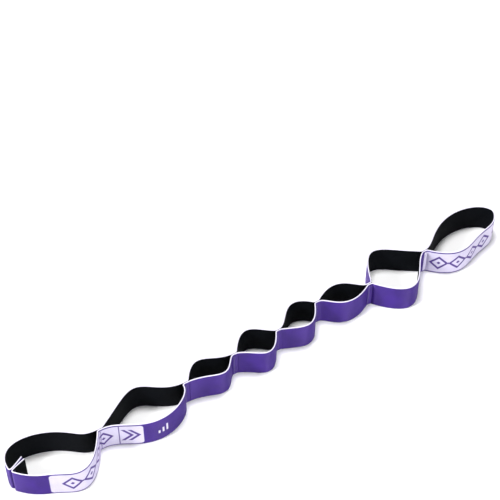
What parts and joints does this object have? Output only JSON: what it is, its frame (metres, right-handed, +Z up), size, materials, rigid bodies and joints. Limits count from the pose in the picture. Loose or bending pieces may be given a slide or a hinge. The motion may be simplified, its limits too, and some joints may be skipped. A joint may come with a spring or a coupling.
{
  "type": "multi-loop stretching strap",
  "caption": "Elastic webbing strap standing on edge, sewn across in rows that leave a chain of open loops for hands and feet.",
  "frame": {"origin": "middle of the footprint, on the surface that the strap stands on", "axes": "+X along the strap from its seamed end to its plain end, +Y from the front strips to the back strips, +Z up across the webbing"},
  "size_m": [0.6832, 0.089, 0.04],
  "materials": {
    "webbing": "woven elastic, purple outside and black inside, white edges",
    "rubber": "natural latex thread",
    "thread": "purple polyester sewing thread"
  },
  "bodies": {
    "loop_1_left": {"loop_1_front_left": "webbing", "loop_1_back_left": "webbing", "loop_1_rubber_left": "rubber", "end_seam_stitching": "thread"},
    "loop_1_right": {"loop_1_front_right": "webbing", "loop_1_back_right": "webbing", "loop_1_rubber_right": "rubber", "stitch_row_1": "thread"},
    "loop_2_left": {"loop_2_front_left": "webbing", "loop_2_back_left": "webbing", "loop_2_rubber_left": "rubber"},
    "loop_2_right": {"loop_2_front_right": "webbing", "loop_2_back_right": "webbing", "loop_2_rubber_right": "rubber", "stitch_row_2": "thread"},
    "loop_3_left": {"loop_3_front_left": "webbing", "loop_3_back_left": "webbing", "loop_3_rubber_left": "rubber"},
    "loop_3_right": {"loop_3_front_right": "webbing", "loop_3_back_right": "webbing", "loop_3_rubber_right": "rubber", "stitch_row_3": "thread"},
    "loop_4_left": {"loop_4_front_left": "webbing", "loop_4_back_left": "webbing", "loop_4_rubber_left": "rubber"},
    "loop_4_right": {"loop_4_front_right": "webbing", "loop_4_back_right": "webbing", "loop_4_rubber_right": "rubber", "stitch_row_4": "thread"},
    "loop_5_left": {"loop_5_front_left": "webbing", "loop_5_back_left": "webbing", "loop_5_rubber_left": "rubber"},
    "loop_5_right": {"loop_5_front_right": "webbing", "loop_5_back_right": "webbing", "loop_5_rubber_right": "rubber", "stitch_row_5": "thread"},
    "loop_6_left": {"loop_6_front_left": "webbing", "loop_6_back_left": "webbing", "loop_6_rubber_left": "rubber"},
    "loop_6_right": {"loop_6_front_right": "webbing", "loop_6_back_right": "webbing", "loop_6_rubber_right": "rubber", "stitch_row_6": "thread"},
    "loop_7_left": {"loop_7_front_left": "webbing", "loop_7_back_left": "webbing", "loop_7_rubber_left": "rubber"},
    "loop_7_right": {"loop_7_front_right": "webbing", "loop_7_back_right": "webbing", "loop_7_rubber_right": "rubber", "stitch_row_7": "thread"},
    "loop_8_left": {"loop_8_front_left": "webbing", "loop_8_back_left": "webbing", "loop_8_rubber_left": "rubber"},
    "loop_8_right": {"loop_8_front_right": "webbing", "loop_8_back_right": "webbing", "loop_8_rubber_right": "rubber"}
  },
  "joints": [
    {"name": "loop_1_stretch", "type": "slide", "parent": "loop_1_left", "child": "loop_1_right", "axis": [0.9989, -0.0465, 0], "range_m": [0, 0.06], "stiffness_N_per_m": 1000},
    {"name": "row_1_fold", "type": "hinge", "parent": "loop_1_right", "child": "loop_2_left", "pos_m": [-0.22971, -0.0071, 0.02], "axis": [0, 0, 1], "range_deg": [-60, 60]},
    {"name": "loop_2_stretch", "type": "slide", "parent": "loop_2_left", "child": "loop_2_right", "axis": [0.9994, 0.0354, 0], "range_m": [0, 0.06], "stiffness_N_per_m": 1000},
    {"name": "row_2_fold", "type": "hinge", "parent": "loop_2_right", "child": "loop_3_left", "pos_m": [-0.11671, -0.0031, 0.02], "axis": [0, 0, -1], "range_deg": [-60, 60]},
    {"name": "loop_3_stretch", "type": "slide", "parent": "loop_3_left", "child": "loop_3_right", "axis": [0.9973, 0.0733, 0], "range_m": [0, 0.035], "stiffness_N_per_m": 1714},
    {"name": "row_3_fold", "type": "hinge", "parent": "loop_3_right", "child": "loop_4_left", "pos_m": [-0.04871, 0.0019, 0.02], "axis": [0, 0, 1], "range_deg": [-60, 60]},
    {"name": "loop_4_stretch", "type": "slide", "parent": "loop_4_left", "child": "loop_4_right", "axis": [0.9995, 0.0322, 0], "range_m": [0, 0.035], "stiffness_N_per_m": 1714},
    {"name": "row_4_fold", "type": "hinge", "parent": "loop_4_right", "child": "loop_5_left", "pos_m": [0.01329, 0.0039, 0.02], "axis": [0, 0, -1], "range_deg": [-60, 60]},
    {"name": "loop_5_stretch", "type": "slide", "parent": "loop_5_left", "child": "loop_5_right", "axis": [0.9846, 0.1747, 0], "range_m": [0, 0.035], "stiffness_N_per_m": 1714},
    {"name": "row_5_fold", "type": "hinge", "parent": "loop_5_right", "child": "loop_6_left", "pos_m": [0.07529, 0.0149, 0.02], "axis": [0, 0, 1], "range_deg": [-60, 60]},
    {"name": "loop_6_stretch", "type": "slide", "parent": "loop_6_left", "child": "loop_6_right", "axis": [0.9872, -0.1597, 0], "range_m": [0, 0.035], "stiffness_N_per_m": 1714},
    {"name": "row_6_fold", "type": "hinge", "parent": "loop_6_right", "child": "loop_7_left", "pos_m": [0.14329, 0.0039, 0.02], "axis": [0, 0, -1], "range_deg": [-60, 60]},
    {"name": "loop_7_stretch", "type": "slide", "parent": "loop_7_left", "child": "loop_7_right", "axis": [0.9968, 0.0802, 0], "range_m": [0, 0.05], "stiffness_N_per_m": 1200},
    {"name": "row_7_fold", "type": "hinge", "parent": "loop_7_right", "child": "loop_8_left", "pos_m": [0.23029, 0.0109, 0.02], "axis": [0, 0, 1], "range_deg": [-60, 60]},
    {"name": "loop_8_stretch", "type": "slide", "parent": "loop_8_left", "child": "loop_8_right", "axis": [0.9985, 0.0545, 0], "range_m": [0, 0.06], "stiffness_N_per_m": 1000}
  ]
}
